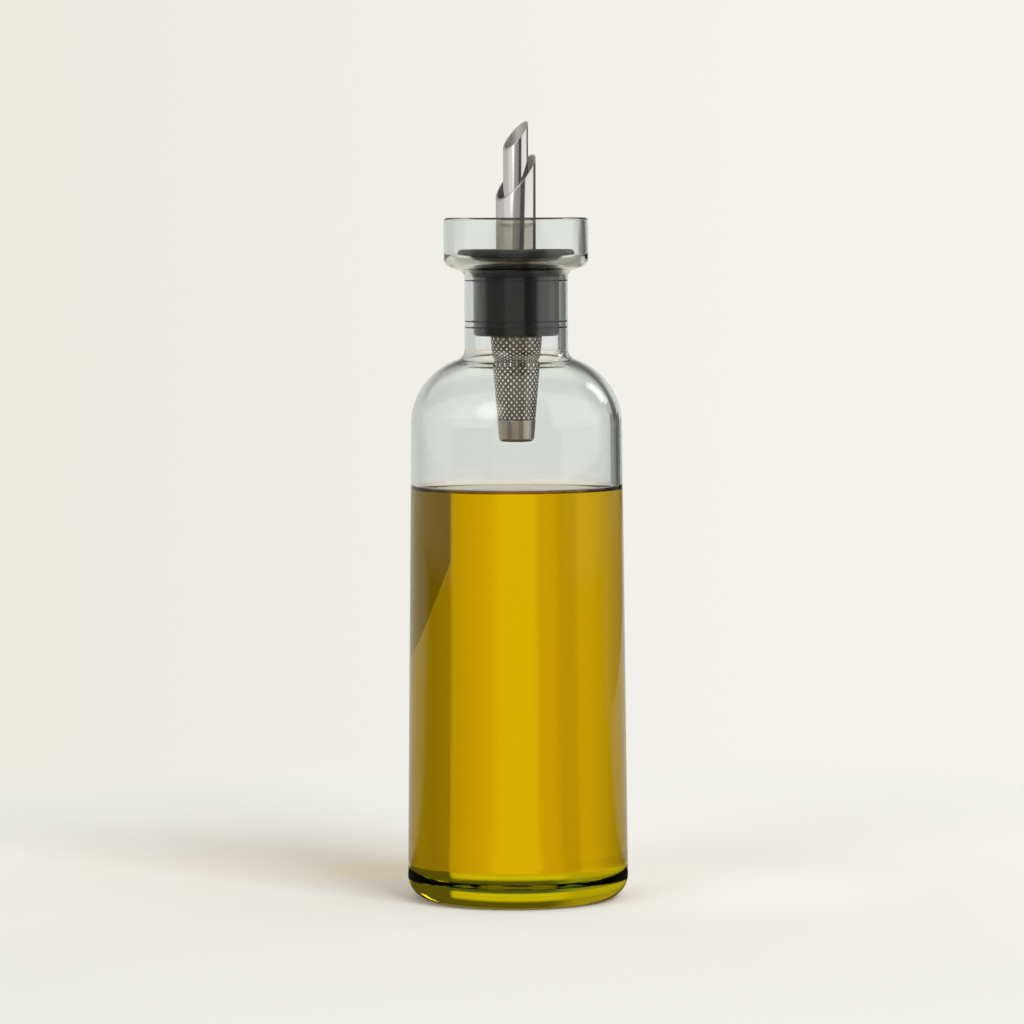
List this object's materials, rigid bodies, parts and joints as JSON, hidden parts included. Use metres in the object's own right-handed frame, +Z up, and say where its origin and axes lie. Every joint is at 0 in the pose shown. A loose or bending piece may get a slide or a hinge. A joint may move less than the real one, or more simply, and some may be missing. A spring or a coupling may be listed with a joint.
{
  "type": "oil and vinegar dispenser",
  "caption": "Tall glass oil and vinegar bottle with a catch cup at its mouth and a stopper holding slant-cut pour and drip tubes over a perforated strainer.",
  "frame": {"origin": "centre of the bottle's base, on the surface it stands on", "axes": "+Z up along the bottle's axis; the slanted mouths of the tubes look towards -X, their long tips on the +X side"},
  "size_m": [0.0664, 0.0664, 0.2335],
  "materials": {
    "smoked_glass": "blown, polished, faint grey smoke tint",
    "olive_oil": "clear golden liquid",
    "seal_silicone": "satin moulded silicone",
    "stopper_plastic": "fine matt moulded",
    "tube_steel": "drawn, bright satin",
    "strainer_steel": "perforated sheet, bright"
  },
  "bodies": {
    "bottle": {"bottle": "smoked_glass", "oil_fill": "olive_oil"},
    "seal": {"seal_sleeve": "seal_silicone"},
    "spout": {"stopper_core": "stopper_plastic", "drip_tube": "tube_steel", "pour_tube": "tube_steel"},
    "strainer": {"strainer_sleeve": "strainer_steel", "strainer_cup": "strainer_steel"}
  },
  "joints": [
    {"name": "stopper_lift", "type": "slide", "parent": "bottle", "child": "seal", "axis": [0, 0, 1], "range_m": [0, 0.07]},
    {"name": "spout_turn", "type": "hinge", "parent": "seal", "child": "spout", "pos_m": [0, 0, 0.18], "axis": [0, 0, 1], "continuous": true},
    {"name": "strainer_pull", "type": "slide", "parent": "spout", "child": "strainer", "axis": [0, 0, -1], "range_m": [0, 0.01]}
  ]
}
